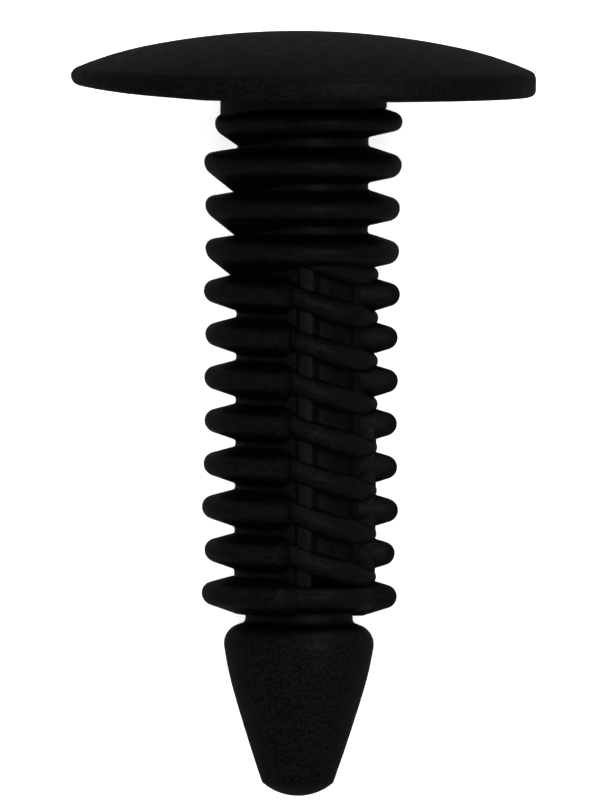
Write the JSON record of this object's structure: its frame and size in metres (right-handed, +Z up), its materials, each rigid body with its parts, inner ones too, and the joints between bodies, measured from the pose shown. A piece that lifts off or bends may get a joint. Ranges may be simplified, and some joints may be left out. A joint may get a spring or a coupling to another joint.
{
  "type": "plastic push rivet",
  "caption": "One-piece moulded push rivet with a thin domed head, a short collar, a ribbed fir-tree shank and a bullet nose, for holding trim in a round hole",
  "frame": {"origin": "On the floor, under the middle of the bounding box, with the rivet lying on the edge of its head and the edge of its lowest fin", "axes": "+X to the rivet's right, where the gate flat is; +Y towards the head, which leans back by about 15 degrees; +Z up, out of the front of the shank"},
  "size_m": [0.022, 0.0365, 0.0215],
  "materials": {
    "black_nylon": "satin black moulded nylon"
  },
  "bodies": {
    "root": {"push_rivet": "black_nylon"}
  },
  "joints": []
}
